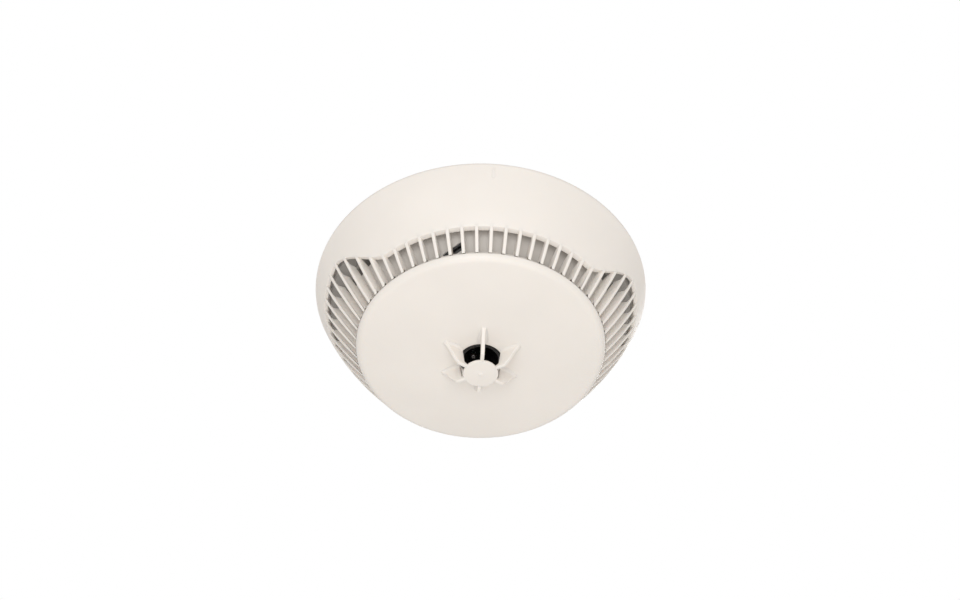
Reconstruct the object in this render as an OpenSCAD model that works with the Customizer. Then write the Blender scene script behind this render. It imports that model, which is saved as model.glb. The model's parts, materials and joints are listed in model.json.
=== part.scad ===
// Ceiling heat detector: a domed, vented head on a twist-lock base. The large front disc
// is pressed to test it, and carries the cage round the heat sensor.
// Parts are drawn face up. Heights, called drops, are counted from the cover's widest
// circle towards the floor, and hang() turns each part over below the ceiling at z = 0.

/* [Cover] */
// Radius of the widest circle, at the cover's rim
cover_r = 70; // [69:0.5:72]
// Wall thickness of the cover
cover_wall = 2.6; // [2.4:0.1:2.8]
// Radius of the arc that shapes the flank
flank_arc_r = 139.5; // [139:0.1:141]
// Height of the flank arc's centre behind the widest circle
flank_arc_back = 55; // [54.6:0.1:55.2]

/* [Vents] */
// Number of radial fins
fin_count = 62; // [54:4:62]
// Thickness of one fin
fin_thick = 1.3; // [1:0.1:1.5]
// Depth of a fin from the outer surface inwards
fin_depth = 4.5; // [4.2:0.1:4.8]
// Drop behind which the fins of the side openings are only thin bars
notch_drop = 15; // [14.6:0.1:15.6]
// Drop of the vents' upper edge at the front and back
vent_low_drop = 23.4; // [23:0.1:23.8]
// Drop of the vents' upper edge in the two large side openings
vent_high_drop = 9.5; // [9:0.1:12]
// Half angle of the full-height part of a side opening
vent_full_deg = 18; // [14:1:22]
// Half angle at which a side opening has faded into the narrow vents
vent_fade_deg = 46; // [42:1:50]

/* [Front disc] */
// Radial distance from the foot of the flank to the disc
disc_inset = 0.6; // [0.5:0.05:0.7]
// Drop of the disc's rear edge
disc_edge_drop = 31.85; // [31.75:0.05:32]
// Radius of the rounded bevel round the disc
disc_bevel_r = 3.36; // [3:0.02:3.6]
// Height by which the face is crowned
disc_crown = 3.2; // [2.8:0.1:3.4]
// Wall thickness of the disc
disc_wall = 2; // [1.8:0.1:2.2]
// How far the disc presses in
press_travel = 1; // [0.6:0.1:1]

/* [Sensor cage] */
// Number of blades round the sensor
blade_count = 6; // [5:1:7]
// Thickness of one blade
blade_thick = 1.5; // [1.2:0.1:1.8]
// Radius of a blade's tip, on the face
blade_tip_r = 17.5; // [17:0.1:18]
// Radius of a blade's outer corner, at its top
blade_top_r = 10.5; // [10:0.1:11]
// Height of the blades above the face
blade_h = 8; // [7.6:0.1:8.4]
// Radius of the cage's cap
cap_r = 7; // [6.6:0.1:7.4]
// Radius of the sensor hole through the disc
sensor_hole_r = 8.8; // [8.7:0.1:9]
// Height of the raised sill round the sensor hole
sill_h = 0.3; // [0.2:0.05:0.5]

/* [Base] */
// Gap between the ceiling and the cover's widest circle
rim_gap = 3; // [3:0.1:3.4]
// Radius of the base plate
base_r = 63; // [62:0.5:64]
// Thickness of the base plate
base_thick = 2.4; // [2.2:0.1:2.6]
// Distance between the centres of two opposite fixing slots
fixing_spacing = 60; // [58:1:62]
// Width of a fixing slot
fixing_slot_w = 4.4; // [4:0.1:5]
// Length of a fixing slot
fixing_slot_len = 9; // [8:0.5:10]
// Radius of the cable hole through the grommet
cable_hole_r = 5; // [4:0.5:6]

/* [Twist lock] */
// Angle taken up by one lug, and by the ledge that holds it
lug_deg = 20; // [16:1:22]
// Drop of the lugs' holding face
lug_drop = 3.8; // [3.6:0.1:3.9]

/* [Hidden] */
$fn = 96;

// Clearance between neighbouring parts
gap = 0.3;
// Clearance between parts that slide past each other or are lowered in
slide_gap = 0.4;
// Extra length by which a cutting shape passes the face it cuts
over = 1;

// Base and twist lock
plate_back = -rim_gap;
plate_front = base_thick - rim_gap;
collar_r = 51;
collar_wall = 2.5;
collar_front = 6.6;
ledge_reach = 2.6;
ledge_thick = 2;
lug_angles = [30, 150, 270];
lug_r = 49.4;
lug_thick = 1.8;
neck_r = 46.5;
neck_wall = 2.5;
cable_at = [0, 12];
grommet_seat_r = 9;
grommet_rim = 1;

// Terminals, four ways in a row
ways = 4;
way_pitch = 10;
block_size = [42, 13, 8];
block_at = [0, -14];
clamp_size = [6.4, 8, 5];
clamp_lift = 1.2;
entry_r = 1.7;
screw_head_r = 2.4;

// Contacts between base and head
contact_r = 38;
contact_angles = [20, 160, 200, 340];
contact_w = 5;
leaf_thick = 0.5;
leaf_top = 3.2;
blade_foot = leaf_top + 0.15;

// Head mouldings
rear_back = 8;
rear_front = 10;
boss_r = 2.8;
boss_at_r = 57.8;
boss_angles = [65, 115, 245, 295];
boss_end = 15.3;
foot_drop = 31.4;
foot_r = flank_r(foot_drop);
disc_r = foot_r - disc_inset;
disc_seat_r = disc_r + gap;
ring_drops = [29, 30.1];
ring_r = flank_r(ring_drops[1]) - fin_depth;
bar_depth = 1;
shoulder_r = 1;
chassis_inset = 7.2;
chassis_wall = 1.6;
chassis_rim = 16;
chassis_floor = [28.4, 30];
leg_angles = [78, 102, 258, 282];
leg_r = flank_r(chassis_rim + 0.5) - chassis_inset;

// Board and what stands on it
board_r = 43;
board_back = 12.5;
board_front = 14.1;
board_screw_r = 39.5;
board_screw_angles = [45, 135, 225, 315];
well_r = sensor_hole_r - slide_gap;
well_end = 37.6;
bead_at = [-3, 0, 35.4];
bead_r = 1.1;
lead_r = 0.25;
lead_spread = 0.6;
sounder_at = [-9, -29.5];
sounder_r = 14.5;
sounder_end = 27.5;
outlet_deg = 253.5;
outlet_drop = 26;
outlet_tilt = -22.3;
outlet_size = [8.8, 2.2];
cell_r = 11.5;
cell_thick = 4.6;
cell_places = [[-12.2, 24], [12.2, 24]];
switch_at = [-15, 6];
switch_top = 18;
plunger_top = 20.8;

// Front disc
face_edge = disc_edge_drop + disc_bevel_r * (sin(78) - sin(8.5));
face_r = disc_r - disc_bevel_r * (cos(8.5) - cos(78));
hook_at_r = 41;
hook_angles = [50, 170, 290];
spring_at_r = 36;
spring_angles = [20, 140, 260];
spring_r = 2.8;
spring_wire = 0.5;
spring_turns = 3;
mound_r = 12;

// Radius of the cover's outer surface at a drop
function flank_r(drop) = cover_r - sqrt(pow(flank_arc_r, 2) - pow(flank_arc_back, 2))
    + sqrt(pow(flank_arc_r, 2) - pow(flank_arc_back + drop, 2));

// Drop of the disc's outer face at a radius, without the sill
function face_drop(r) = face_edge + disc_crown * (1 - pow(r / face_r, 2));

// Height of the soft mound that rises to the sill round the sensor hole
function mound_h(r) = sill_h * smooth((mound_r - r) / (mound_r - sensor_hole_r));

// Smooth rise from 0 to 1
function smooth(t) = let (u = max(0, min(1, t))) u * u * (3 - 2 * u);

// Drop of the vents' upper edge, by the angle away from the nearest side
function vent_top(side_deg) = vent_high_drop + (vent_low_drop - vent_high_drop)
    * smooth((abs(side_deg) - vent_full_deg) / (vent_fade_deg - vent_full_deg));

// Angle away from the nearer of the two sides, for an angle round the cover
function from_side(deg) = asin(abs(sin(deg)));

// Point of a ring of items: its place at a radius and angle
function polar(r, deg) = [r * cos(deg), r * sin(deg)];

// Evenly stepped numbers from a to b
function steps(a, b, n) = [for (i = [0:n]) a + (b - a) * i / n];

// Turns a part that is drawn face up over, below the ceiling
module hang() {
    translate([0, 0, -rim_gap]) mirror([0, 0, 1]) children();
}

// A flat plate in the plane through the axis, from an outline of radii and drops
module radial_plate(thick) {
    rotate([90, 0, 0]) translate([0, 0, -thick / 2]) linear_extrude(thick) children();
}

// Part of a ring, between two radii and two drops, centred on an angle
module ring_part(r_in, r_out, low, high, mid_deg, span_deg) {
    rotate([0, 0, mid_deg - span_deg / 2])
        rotate_extrude(angle = span_deg)
            translate([r_in, low]) square([r_out - r_in, high - low]);
}

// A round bar along the axis between two drops
module bar(at, r, low, high) {
    translate([at[0], at[1], low]) cylinder(r = r, h = high - low);
}

// A screw with a slotted head, its head's rear face at a drop and its shank going up
module screw(at, head_r, head_h, shank_r, low, high) {
    difference() {
        union() {
            bar(at, head_r, low, low + head_h);
            bar(at, shank_r, low, high);
        }
        translate([at[0] - head_r - over, at[1] - 0.35, low - over])
            cube([2 * (head_r + over), 0.7, over + head_h * 0.45]);
    }
}

// ---- Base ----

module fixing_slot(deg) {
    rotate([0, 0, deg]) translate([fixing_spacing / 2, 0, plate_back - over])
        linear_extrude(base_thick + 2 * over) {
            reach = (fixing_slot_len - fixing_slot_w) / 2;
            translate([-reach, 0]) circle(d = fixing_slot_w);
            translate([reach, 0]) circle(d = fixing_slot_w);
            square([2 * reach, fixing_slot_w], center = true);
        }
}

module mounting_base() {
    pocket_count = 12;
    pocket_depth = 1;
    color("whitesmoke") hang() {
        difference() {
            union() {
                bar([0, 0], base_r, plate_back, plate_front);
                ring_wall(collar_r, collar_r + collar_wall, plate_front - 0.5, collar_front);
                ring_wall(base_r - 1.6, base_r, plate_front - 0.5, 0.8);
                bar(cable_at, grommet_seat_r + 3.5, plate_back, grommet_rim);
            }
            bar(cable_at, grommet_seat_r, plate_back - over, grommet_rim + over);
            for (deg = [0:90:270]) fixing_slot(deg);
            for (i = [0:pocket_count - 1])
                ring_part(41, 59, plate_back - over, plate_back + pocket_depth,
                    (i + 0.5) * 360 / pocket_count, 24);
        }
        for (deg = lug_angles) {
            ring_part(collar_r - ledge_reach, collar_r + 0.5, lug_drop + gap,
                lug_drop + gap + ledge_thick, deg, lug_deg);
            ring_part(collar_r - ledge_reach, collar_r + 0.5, plate_front - 0.5,
                lug_drop + gap + ledge_thick, deg + lug_deg / 2 + 1.6, 1.6);
        }
    }
}

// A closed ring between two radii and two drops
module ring_wall(r_in, r_out, low, high, at = [0, 0]) {
    translate([at[0], at[1], low])
        rotate_extrude() translate([r_in, 0]) square([r_out - r_in, high - low]);
}

module cable_grommet() {
    lip = 1.8;
    color("dimgray") hang() translate([cable_at[0], cable_at[1], 0]) rotate_extrude()
        polygon([
            [cable_hole_r, plate_back + 0.2], [grommet_seat_r - 0.1, plate_back + 0.2],
            [grommet_seat_r - 0.1, 1.1], [grommet_seat_r + lip, 1.1],
            [grommet_seat_r + lip, 2.2], [cable_hole_r + 1.5, 3.4], [cable_hole_r, 3.4]
        ]);
}

// Places children at each way of the terminal block
module each_way() {
    for (i = [0:ways - 1])
        translate([block_at[0] + (i - (ways - 1) / 2) * way_pitch, block_at[1], 0]) children();
}

module terminal_block() {
    floor_z = plate_front + clamp_lift;
    color("ivory") hang() difference() {
        translate([block_at[0] - block_size[0] / 2, block_at[1] - block_size[1] / 2, plate_front])
            cube(block_size);
        each_way() {
            translate([-clamp_size[0] / 2 - 0.15, -clamp_size[1] / 2 - 0.15, floor_z - 0.15])
                cube([clamp_size[0] + 0.3, clamp_size[1] + 0.3, clamp_size[2] + 0.3]);
            bar([0, 0], screw_head_r + 0.2, floor_z, plate_front + block_size[2] + over);
            translate([0, 0, floor_z + 2]) rotate([90, 0, 0])
                cylinder(r = entry_r, h = block_size[1] + 2 * over, center = true);
        }
        for (i = [0:ways])
            translate([block_at[0] + (i - ways / 2) * way_pitch - 0.4,
                block_at[1] - block_size[1] / 2 - over, plate_front + block_size[2] - 1])
                cube([0.8, block_size[1] + 2 * over, 1 + over]);
    }
}

module terminal_clamps() {
    floor_z = plate_front + clamp_lift;
    color("goldenrod") hang() each_way() difference() {
        translate([-clamp_size[0] / 2, -clamp_size[1] / 2, floor_z]) cube(clamp_size);
        translate([0, 0, floor_z + 2]) rotate([90, 0, 0])
            cylinder(r = entry_r, h = clamp_size[1] + 2 * over, center = true);
        bar([0, 0], 1.55, floor_z + 2, floor_z + clamp_size[2] + over);
    }
}

module terminal_screws() {
    head_back = plate_front + clamp_lift + clamp_size[2] + 0.1;
    color("silver") hang() each_way() difference() {
        union() {
            bar([0, 0], 1.5, head_back - 3.2, head_back);
            bar([0, 0], screw_head_r, head_back, head_back + 1.2);
        }
        translate([-screw_head_r - over, -0.3, head_back + 0.6])
            cube([2 * (screw_head_r + over), 0.6, over + 1]);
    }
}

module base_contacts() {
    half = 7;
    color("darkgoldenrod") hang() for (deg = contact_angles) rotate([0, 0, deg])
        translate([contact_r, 0, 0]) rotate([0, 0, 90]) radial_plate(contact_w)
            polygon(concat(
                [for (x = steps(-half, half, 20))
                    [x, plate_front + leaf_thick + (leaf_top - plate_front - leaf_thick)
                        * smooth(1.15 - abs(x) / half)]],
                [for (x = steps(half, -half, 20))
                    [x, plate_front + (leaf_top - plate_front - leaf_thick)
                        * smooth(1.15 - abs(x) / half)]]
            ));
}

// ---- Head: mouldings ----

// Inner edge of a fin near its top: a bar and a rounded shoulder in the side openings,
// and a plain slope up to the wall in the narrow vents
function fin_top(top) = top < notch_drop - 0.5
    ? concat(
        [for (a = steps(0, 90, 4))
            [flank_r(notch_drop) - fin_depth + shoulder_r * (1 - cos(a)),
                notch_drop + shoulder_r * (1 - sin(a))]],
        [for (drop = steps(notch_drop, top - 1, 6)) [flank_r(drop) - bar_depth, drop]]
    )
    : [
        [flank_r(top + 1.6) - fin_depth + 0.8, top + 1.6],
        [flank_r(top - 1) - cover_wall + 0.4, top - 1]
    ];

// Outline of one fin, for the drop of the vent's upper edge beside it
function fin_outline(top) = concat(
    [for (drop = steps(top - 1, foot_drop, 12)) [flank_r(drop) - 0.2, drop]],
    [[disc_seat_r, foot_drop], [disc_seat_r, ring_drops[1] + 0.2]],
    [[ring_r + 0.3, ring_drops[1] + 0.2]],
    [for (drop = steps(ring_drops[0] - 0.4, max(top + 3, notch_drop + 3), 8))
        [flank_r(drop) - fin_depth, drop]],
    fin_top(top)
);

// Cutter for one side opening: everything in front of the vents' wavy upper edge
module side_opening() {
    last = 60;
    r_in = foot_r - 4;
    r_out = cover_r + 3;
    front = vent_low_drop + 3;
    angles = concat([-vent_fade_deg - 2], steps(-vent_fade_deg, vent_fade_deg, last - 2),
        [vent_fade_deg + 2]);
    tops = [for (deg = angles) vent_top(deg) + (abs(deg) > vent_fade_deg - 0.1 ? 0.6 : 0)];
    points = [for (i = [0:last])
        for (corner = [[r_in, tops[i]], [r_out, tops[i]], [r_out, front], [r_in, front]])
            [corner[0] * cos(angles[i]), corner[0] * sin(angles[i]), corner[1]]];
    sides = [for (i = [0:last - 1]) for (k = [0:3]) let (m = (k + 1) % 4)
        for (face = [[4 * i + k, 4 * i + m, 4 * i + 4 + m], [4 * i + k, 4 * i + 4 + m, 4 * i + 4 + k]])
            face];
    polyhedron(points, concat(sides, [[3, 2, 1, 0]], [[for (k = [0:3]) 4 * last + k]]));
}

module outer_cover() {
    mark_drops = [1.8, 5.7];
    rim_round = 0.4;
    color("white") hang() {
        difference() {
            rotate_extrude() polygon(concat(
                [[cover_r - rim_round, -rim_round]],
                [for (drop = steps(0, vent_low_drop, 24)) [flank_r(drop), drop]],
                [for (drop = steps(vent_low_drop, 0, 24)) [flank_r(drop) - cover_wall, drop]],
                [[cover_r - cover_wall, -rim_round]]
            ));
            side_opening();
            rotate([0, 0, 180]) side_opening();
        }
        for (i = [0:fin_count - 1]) let (deg = 270 + i * 360 / fin_count)
            rotate([0, 0, deg]) radial_plate(fin_thick)
                polygon(fin_outline(vent_top(from_side(deg))));
        ring_wall(ring_r - 0.6, ring_r + 1.2, ring_drops[0], ring_drops[1]);
        for (deg = boss_angles) difference() {
            union() {
                bar(polar(boss_at_r, deg), boss_r, rear_front + 0.1, boss_end);
                rotate([0, 0, deg]) translate([boss_at_r, -0.8, rear_front + 0.1])
                    cube([3.6, 1.6, boss_end - rear_front]);
            }
            bar(polar(boss_at_r, deg), 1.1, rear_front - over, boss_end - 0.8);
        }
        rotate([0, 0, 270]) radial_plate(1.25) polygon(concat(
            [for (drop = steps(mark_drops[0], mark_drops[1], 4)) [flank_r(drop) + 0.35, drop]],
            [for (drop = steps(mark_drops[1], mark_drops[0], 4)) [flank_r(drop) - 1, drop]]
        ));
    }
}

// Outline of the sounder's outlet, in the plane that faces outwards
module outlet_shape(margin) {
    rotate(outlet_tilt) square([outlet_size[0] + 2 * margin, outlet_size[1] + 2 * margin],
        center = true);
}

// Carries an outline of the outlet through the chassis wall
module outlet_duct(r_in, r_out, margin) {
    rotate([0, 0, outlet_deg]) translate([r_in, 0, outlet_drop]) rotate([90, 0, 90])
        linear_extrude(r_out - r_in) outlet_shape(margin);
}

module inner_chassis() {
    color("gainsboro") hang() {
        difference() {
            rotate_extrude() polygon(concat(
                [for (drop = steps(chassis_rim, chassis_floor[1], 14))
                    [flank_r(drop) - chassis_inset, drop]],
                [[sensor_hole_r + slide_gap, chassis_floor[1]],
                    [sensor_hole_r + slide_gap, chassis_floor[0]]],
                [for (drop = steps(chassis_floor[0], chassis_rim, 14))
                    [flank_r(drop) - chassis_inset - chassis_wall, drop]]
            ));
            outlet_duct(40, 56, 0.2);
            bar(switch_at, 2.9, 20, 40);
            for (deg = hook_angles) rotate([0, 0, deg])
                translate([hook_at_r - 1.4, -3.1, 20]) cube([4, 6.2, 20]);
        }
        for (deg = leg_angles)
            ring_part(leg_r - chassis_wall, leg_r, rear_front + 0.05, chassis_rim + 0.5, deg, 7);
        for (deg = spring_angles) bar(polar(spring_at_r, deg), 1.6, chassis_floor[1] - 0.5,
            chassis_floor[1] + 1.2);
    }
}

module rear_housing() {
    color("whitesmoke") hang() difference() {
        union() {
            rotate_extrude() polygon([
                [0, rear_back], [flank_r(rear_back) - cover_wall - slide_gap, rear_back],
                [flank_r(rear_front) - cover_wall - slide_gap, rear_front], [0, rear_front]
            ]);
            ring_wall(neck_r - neck_wall, neck_r, lug_drop - lug_thick, rear_back + 0.5);
            for (deg = lug_angles)
                ring_part(neck_r - 0.5, lug_r, lug_drop - lug_thick, lug_drop, deg, lug_deg);
            for (deg = board_screw_angles)
                bar(polar(board_screw_r, deg), 3, rear_front - 0.5, board_back - 0.02);
            ring_wall(56, 57.2, rear_front - 0.5, rear_front + 2);
        }
        for (deg = board_screw_angles) bar(polar(board_screw_r, deg), 1.1, rear_front - 1, 20);
        for (deg = boss_angles) {
            bar(polar(boss_at_r, deg), 1.5, rear_back - over, rear_front + 5);
            bar(polar(boss_at_r, deg), boss_r + 0.2, rear_front, rear_front + 5);
        }
        for (deg = contact_angles) rotate([0, 0, deg])
            translate([contact_r - 0.6, -contact_w / 2 - 0.2, rear_back - over])
                cube([1.2, contact_w + 0.4, 10]);
    }
}

module cover_screws() {
    color("silver") hang() for (deg = boss_angles) difference() {
        union() {
            bar(polar(boss_at_r, deg), 2.4, rear_back - 1.7, rear_back - 0.05);
            bar(polar(boss_at_r, deg), 1.05, rear_back - 0.1, boss_end - 2);
        }
        translate([boss_at_r * cos(deg) - 4, boss_at_r * sin(deg) - 0.35, rear_back - 2.7])
            cube([8, 0.7, 1.7]);
    }
}

module contact_blades() {
    color("goldenrod") hang() for (deg = contact_angles) rotate([0, 0, deg])
        translate([contact_r, 0, 0]) rotate([0, 0, 90]) radial_plate(0.8)
            polygon([
                [-contact_w / 2 + 1, blade_foot], [contact_w / 2 - 1, blade_foot],
                [contact_w / 2, blade_foot + 1], [contact_w / 2, board_front + 0.6],
                [-contact_w / 2, board_front + 0.6], [-contact_w / 2, blade_foot + 1]
            ]);
}

// ---- Head: board and sensor ----

module circuit_board() {
    color("darkgreen") hang() difference() {
        bar([0, 0], board_r, board_back, board_front);
        for (deg = board_screw_angles) bar(polar(board_screw_r, deg), 1.5, 0, 20);
        for (deg = contact_angles) rotate([0, 0, deg])
            translate([contact_r - 0.55, -contact_w / 2 - 0.15, board_back - over])
                cube([1.1, contact_w + 0.3, 5]);
        for (side = [-1, 1]) bar([bead_at[0] + side * lead_spread, bead_at[1]], 0.35, 0, 20);
    }
}

module board_screws() {
    color("silver") hang() for (deg = board_screw_angles) difference() {
        union() {
            bar(polar(board_screw_r, deg), 2.6, board_front + 0.05, board_front + 1.7);
            bar(polar(board_screw_r, deg), 1.05, rear_front - 0.5, board_front + 0.1);
        }
        translate([board_screw_r * cos(deg) - 4, board_screw_r * sin(deg) - 0.35, board_front + 1])
            cube([8, 0.7, 2]);
    }
}

module sensor_well() {
    wall = 1.2;
    color("black") hang() rotate_extrude() polygon([
        [well_r - wall, board_front + 0.05], [well_r + 2, board_front + 0.05],
        [well_r + 2, board_front + 1.3], [well_r, board_front + 1.3], [well_r, well_end - 0.5],
        [well_r - 0.4, well_end], [well_r - wall, well_end]
    ]);
}

module thermistor_bead() {
    color("saddlebrown") hang() translate(bead_at) sphere(r = bead_r);
}

module thermistor_leads() {
    lead_end = bead_at[2] - sqrt(pow(bead_r, 2) - pow(lead_spread + lead_r, 2)) - 0.3;
    color("silver") hang() for (side = [-1, 1])
        bar([bead_at[0] + side * lead_spread, bead_at[1]], lead_r, board_back - 0.8, lead_end);
}

// ---- Head: sounder ----

module sounder_housing() {
    wall = 1.4;
    seat = 24;
    color("black") hang() {
        difference() {
            union() {
                bar(sounder_at, sounder_r, board_front + 0.05, sounder_end);
                intersection() {
                    outlet_duct(40, 56, 0);
                    rotate_extrude() polygon(concat([[0, 30], [0, 20]],
                        [for (drop = steps(20, 30, 8)) [flank_r(drop) - chassis_inset - 0.1, drop]]));
                }
            }
            bar(sounder_at, sounder_r - wall - 1, board_front - over, seat);
            bar(sounder_at, sounder_r - wall, board_front - over, 20);
            bar(sounder_at, 4, seat - over, sounder_end - 1.4);
            outlet_duct(30, 60, -0.7);
        }
    }
}

module sounder_disc() {
    color("goldenrod") hang() bar(sounder_at, sounder_r - 2.6, 22.6, 22.9);
}

module sounder_ceramic() {
    color("lightgray") hang() bar(sounder_at, 8, 22.3, 22.58);
}

// ---- Head: parts on the board ----

module backup_cells() {
    low = board_front + 1;
    color("silver") hang() for (at = cell_places) {
        translate([at[0], at[1], low]) rotate_extrude() polygon([
            [0, 0], [cell_r - 1.6, 0], [cell_r - 1.6, 0.5], [cell_r, 0.9], [cell_r, cell_thick - 0.4],
            [cell_r - 0.4, cell_thick], [0, cell_thick]
        ]);
    }
}

module cell_tabs() {
    low = board_front + 1;
    top = low + cell_thick + 0.02;
    color("lightgray") hang() for (at = cell_places) {
        translate([at[0] - 2, at[1] - 5, top]) cube([4, cell_r + 7.2, 0.3]);
        translate([at[0] - 2, at[1] + cell_r + 1.9, board_front + 0.02])
            cube([4, 0.3, top + 0.3 - board_front - 0.02]);
    }
}

module film_capacitor() {
    size = [8, 18, 12];
    at = [-29, 0];
    color("khaki") hang() translate([at[0] - size[0] / 2, at[1] - size[1] / 2, board_front + 0.3])
        cube(size);
}

module smoothing_capacitor() {
    at = [24, -20];
    can_r = 5;
    can_h = 12;
    color("midnightblue") hang() translate([at[0], at[1], board_front + 0.3])
        rotate_extrude() polygon([
            [0, 0], [can_r, 0], [can_r, 1.4], [can_r - 0.4, 1.8], [can_r, 2.2],
            [can_r, can_h - 0.5], [can_r - 0.5, can_h], [can_r - 1, can_h - 0.2], [0, can_h - 0.2]
        ]);
}

module varistor() {
    at = [29, 4];
    coin_r = 4.5;
    color("royalblue") hang() translate([at[0] - 2, at[1], board_front + 0.8 + coin_r])
        rotate([0, 90, 0]) cylinder(r = coin_r, h = 4);
}

module control_chip() {
    at = [14, -12];
    side = 8;
    leads = 6;
    pitch = 1.1;
    color("black") hang() translate([at[0], at[1], board_front + 0.05]) {
        translate([-side / 2, -side / 2, 0.25]) cube([side, side, 1.4]);
        for (turn = [0:90:270], i = [0:leads - 1])
            rotate([0, 0, turn]) translate([side / 2 - 0.2, (i - (leads - 1) / 2) * pitch - 0.2, 0])
                cube([1.4, 0.4, 0.5]);
    }
}

module indicator_lamps() {
    color("lightgreen") hang() for (y = [-1, 5]) {
        bar([19, y], 1.9, board_front + 0.1, board_front + 1.1);
        bar([19, y], 1.5, board_front + 1, board_front + 3.5);
        translate([19, y, board_front + 3.5]) sphere(r = 1.5);
    }
}

// ---- Test switch ----

module switch_body() {
    side = 6.4;
    color("dimgray") hang() difference() {
        translate([switch_at[0] - side / 2, switch_at[1] - side / 2, board_front + 0.05])
            cube([side, side, switch_top - board_front - 0.05]);
        bar(switch_at, 1.6, board_front + 1, switch_top + over);
    }
}

module switch_plunger() {
    low = board_front + 1.2 + press_travel;
    color("red") hang() bar(switch_at, 1.55, low, plunger_top);
}

// ---- Front disc ----

// A coil of round wire between two drops, swept as one closed tube
module coil(r, wire_r, low, high, turns) {
    per_turn = 20;
    sides = 6;
    last = per_turn * turns;
    points = [for (i = [0:last]) let (deg = 360 * i / per_turn, mid = low + (high - low) * i / last)
        for (k = [0:sides - 1]) let (a = 360 * k / sides)
            [(r + wire_r * cos(a)) * cos(deg), (r + wire_r * cos(a)) * sin(deg), mid + wire_r * sin(a)]];
    skin = [for (i = [0:last - 1]) for (k = [0:sides - 1]) let (m = (k + 1) % sides)
        for (face = [[sides * i + k, sides * (i + 1) + m, sides * i + m],
                     [sides * i + k, sides * (i + 1) + k, sides * (i + 1) + m]]) face];
    polyhedron(points, concat(skin,
        [[for (k = [0:sides - 1]) k]],
        [[for (k = [sides - 1:-1:0]) sides * last + k]]));
}

module return_springs() {
    low = chassis_floor[1] + spring_wire / 2 + 0.05;
    high = face_drop(spring_at_r + spring_r + spring_wire / 2) - disc_wall - spring_wire / 2 - 0.1;
    color("silver") hang() for (deg = spring_angles)
        translate([spring_at_r * cos(deg), spring_at_r * sin(deg), 0])
            coil(spring_r, spring_wire / 2, low, high, spring_turns);
}

// Outline of the disc's wall, with the guide tube round the sensor hole
function disc_outline() = let (
    bevel_mid = [disc_r - disc_bevel_r * cos(8.5), disc_edge_drop - disc_bevel_r * sin(8.5)],
    inner_r = disc_bevel_r - disc_wall * 0.9
) concat(
    [for (r = steps(sensor_hole_r, mound_r, 8)) [r, face_drop(r) + mound_h(r)]],
    [for (r = steps(mound_r + 3, face_r, 12)) [r, face_drop(r)]],
    [for (a = steps(78, 8.5, 8)) bevel_mid + disc_bevel_r * [cos(a), sin(a)]],
    [for (a = steps(20, 78, 4)) bevel_mid + inner_r * [cos(a), sin(a)]],
    [for (r = steps(face_r - 2, sensor_hole_r + 1.2, 16)) [r, face_drop(r) - disc_wall]],
    [[sensor_hole_r + 1.2, 31.4], [sensor_hole_r, 31.4]]
);

module cage_blade() {
    top = face_drop(0) + blade_h;
    foot = face_drop(blade_tip_r);
    inner_r = sensor_hole_r + 0.2;
    radial_plate(blade_thick) polygon([
        [inner_r + 0.2, face_drop(0) - 1], [blade_tip_r, foot - 0.6], [blade_tip_r, foot + 0.2],
        [blade_tip_r - 2.3, foot + 2.5], [blade_tip_r - 4.5, foot + 5.9],
        [blade_top_r + 0.3, top - 0.4], [blade_top_r - 0.2, top], [cap_r - 1.5, top],
        [cap_r - 1.5, top - 0.9], [cap_r - 0.1, top - 1.2], [inner_r - 0.8, top - 1.8],
        [inner_r, face_drop(0) + sill_h]
    ]);
}

module test_button() {
    top = face_drop(0) + blade_h;
    color("white") hang() {
        rotate_extrude() polygon(disc_outline());
        for (i = [0:blade_count - 1]) rotate([0, 0, 270 + i * 360 / blade_count]) cage_blade();
        translate([0, 0, top]) rotate_extrude() polygon([
            [0, -1], [cap_r - 0.3, -1], [cap_r, -0.7], [cap_r, -0.05], [cap_r - 0.4, 0.3],
            [1, 0.35], [0.7, 0.55], [0, 0.6]
        ]);
        bar(switch_at, 2.2, plunger_top + 0.2, face_drop(norm(switch_at)) - 1);
        for (deg = hook_angles) rotate([0, 0, deg]) translate([hook_at_r, 0, 0]) {
            translate([-0.8, -2.5, 27]) cube([1.6, 5, face_drop(hook_at_r) - disc_wall - 26.5]);
            translate([0.5, -2.5, 27]) cube([1.6, 5, chassis_floor[0] - gap - 27]);
        }
    }
}

mounting_base();
cable_grommet();
terminal_block();
terminal_clamps();
terminal_screws();
base_contacts();
outer_cover();
inner_chassis();
rear_housing();
cover_screws();
contact_blades();
circuit_board();
board_screws();
sensor_well();
thermistor_bead();
thermistor_leads();
sounder_housing();
sounder_disc();
sounder_ceramic();
backup_cells();
cell_tabs();
film_capacitor();
smoothing_capacitor();
varistor();
control_chip();
indicator_lamps();
switch_body();
switch_plunger();
return_springs();
test_button();
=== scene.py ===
import json
import math

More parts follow.
